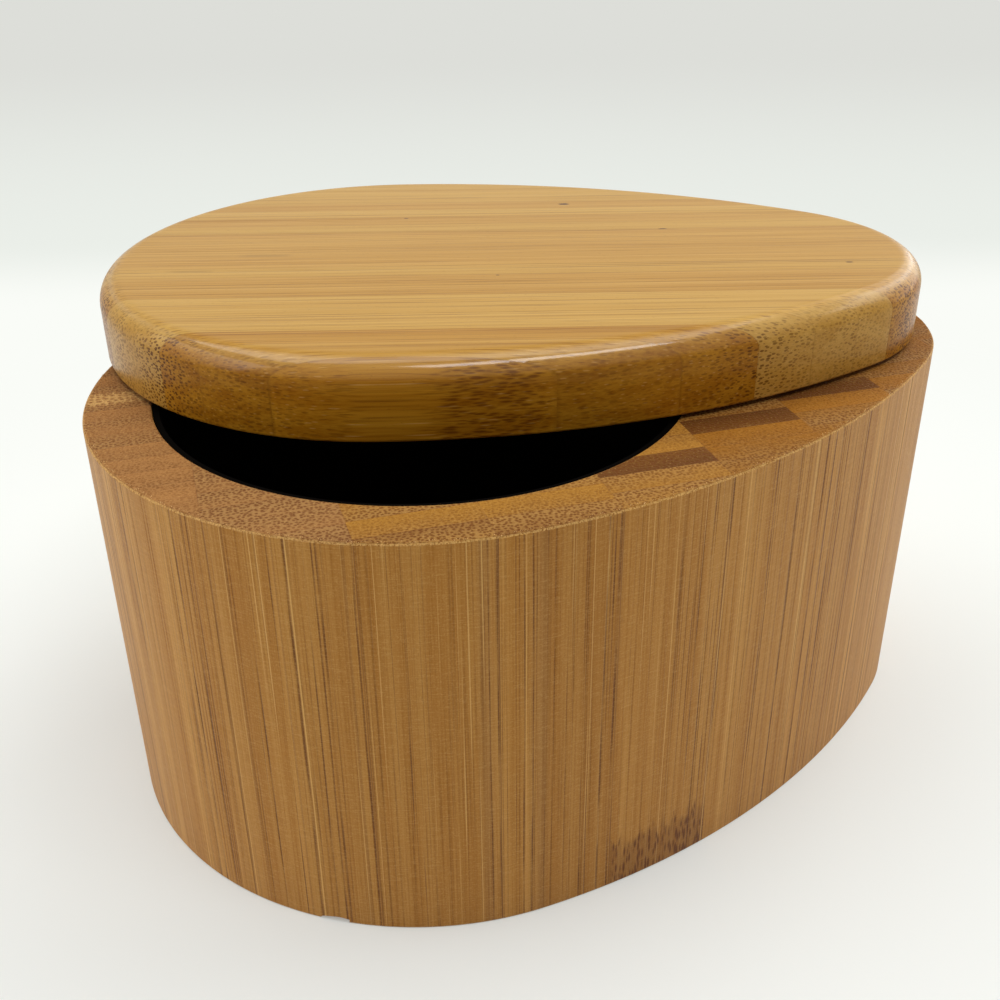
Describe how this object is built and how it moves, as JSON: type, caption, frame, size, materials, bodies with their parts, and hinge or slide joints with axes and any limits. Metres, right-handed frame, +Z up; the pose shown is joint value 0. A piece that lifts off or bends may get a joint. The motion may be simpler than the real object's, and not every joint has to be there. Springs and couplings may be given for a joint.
{
  "type": "salt box with swivel lid",
  "caption": "Egg-shaped salt box of laminated bamboo: a thick block with a round black-lined well, under a board lid that swivels on an upright pin near its small end.",
  "frame": {"origin": "middle of the underside: on the outline's line of symmetry, halfway between the tips of the big and small ends, on the face that the box stands on", "axes": "+Z up along the pin, +X towards the small end, where the pin is, -Y towards the front of the picture"},
  "size_m": [0.152, 0.1328, 0.0843],
  "materials": {
    "bamboo_block": "oiled bamboo, upright grain on the sides and end grain on top",
    "bamboo_lid": "satin bamboo, grain along the lid",
    "liner_black": "matt black",
    "pin_steel": "ground steel",
    "washer_nylon": "natural nylon",
    "bushing_brass": "turned brass"
  },
  "bodies": {
    "base": {"base_board_01": "bamboo_block", "base_board_02": "bamboo_block", "base_board_03": "bamboo_block", "base_board_04": "bamboo_block", "base_board_05": "bamboo_block", "base_board_06": "bamboo_block", "base_board_07": "bamboo_block", "base_board_08": "bamboo_block", "base_board_09": "bamboo_block", "well_liner": "liner_black", "pivot_pin": "pin_steel", "pivot_washer": "washer_nylon"},
    "lid": {"lid_strip_01": "bamboo_lid", "lid_strip_02": "bamboo_lid", "lid_strip_03": "bamboo_lid", "lid_strip_04": "bamboo_lid", "lid_strip_05": "bamboo_lid", "lid_strip_06": "bamboo_lid", "lid_strip_07": "bamboo_lid", "lid_strip_08": "bamboo_lid", "lid_strip_09": "bamboo_lid", "lid_strip_10": "bamboo_lid", "lid_strip_11": "bamboo_lid", "lid_strip_12": "bamboo_lid", "lid_strip_13": "bamboo_lid", "lid_strip_14": "bamboo_lid", "lid_strip_15": "bamboo_lid", "lid_strip_16": "bamboo_lid", "lid_strip_17": "bamboo_lid", "lid_strip_18": "bamboo_lid", "lid_strip_19": "bamboo_lid", "lid_strip_20": "bamboo_lid", "lid_strip_21": "bamboo_lid", "lid_bushing": "bushing_brass"}
  },
  "joints": [
    {"name": "lid_swivel", "type": "hinge", "parent": "base", "child": "lid", "pos_m": [0.051, 0, 0.0705], "axis": [0, 0, 1], "continuous": true}
  ]
}
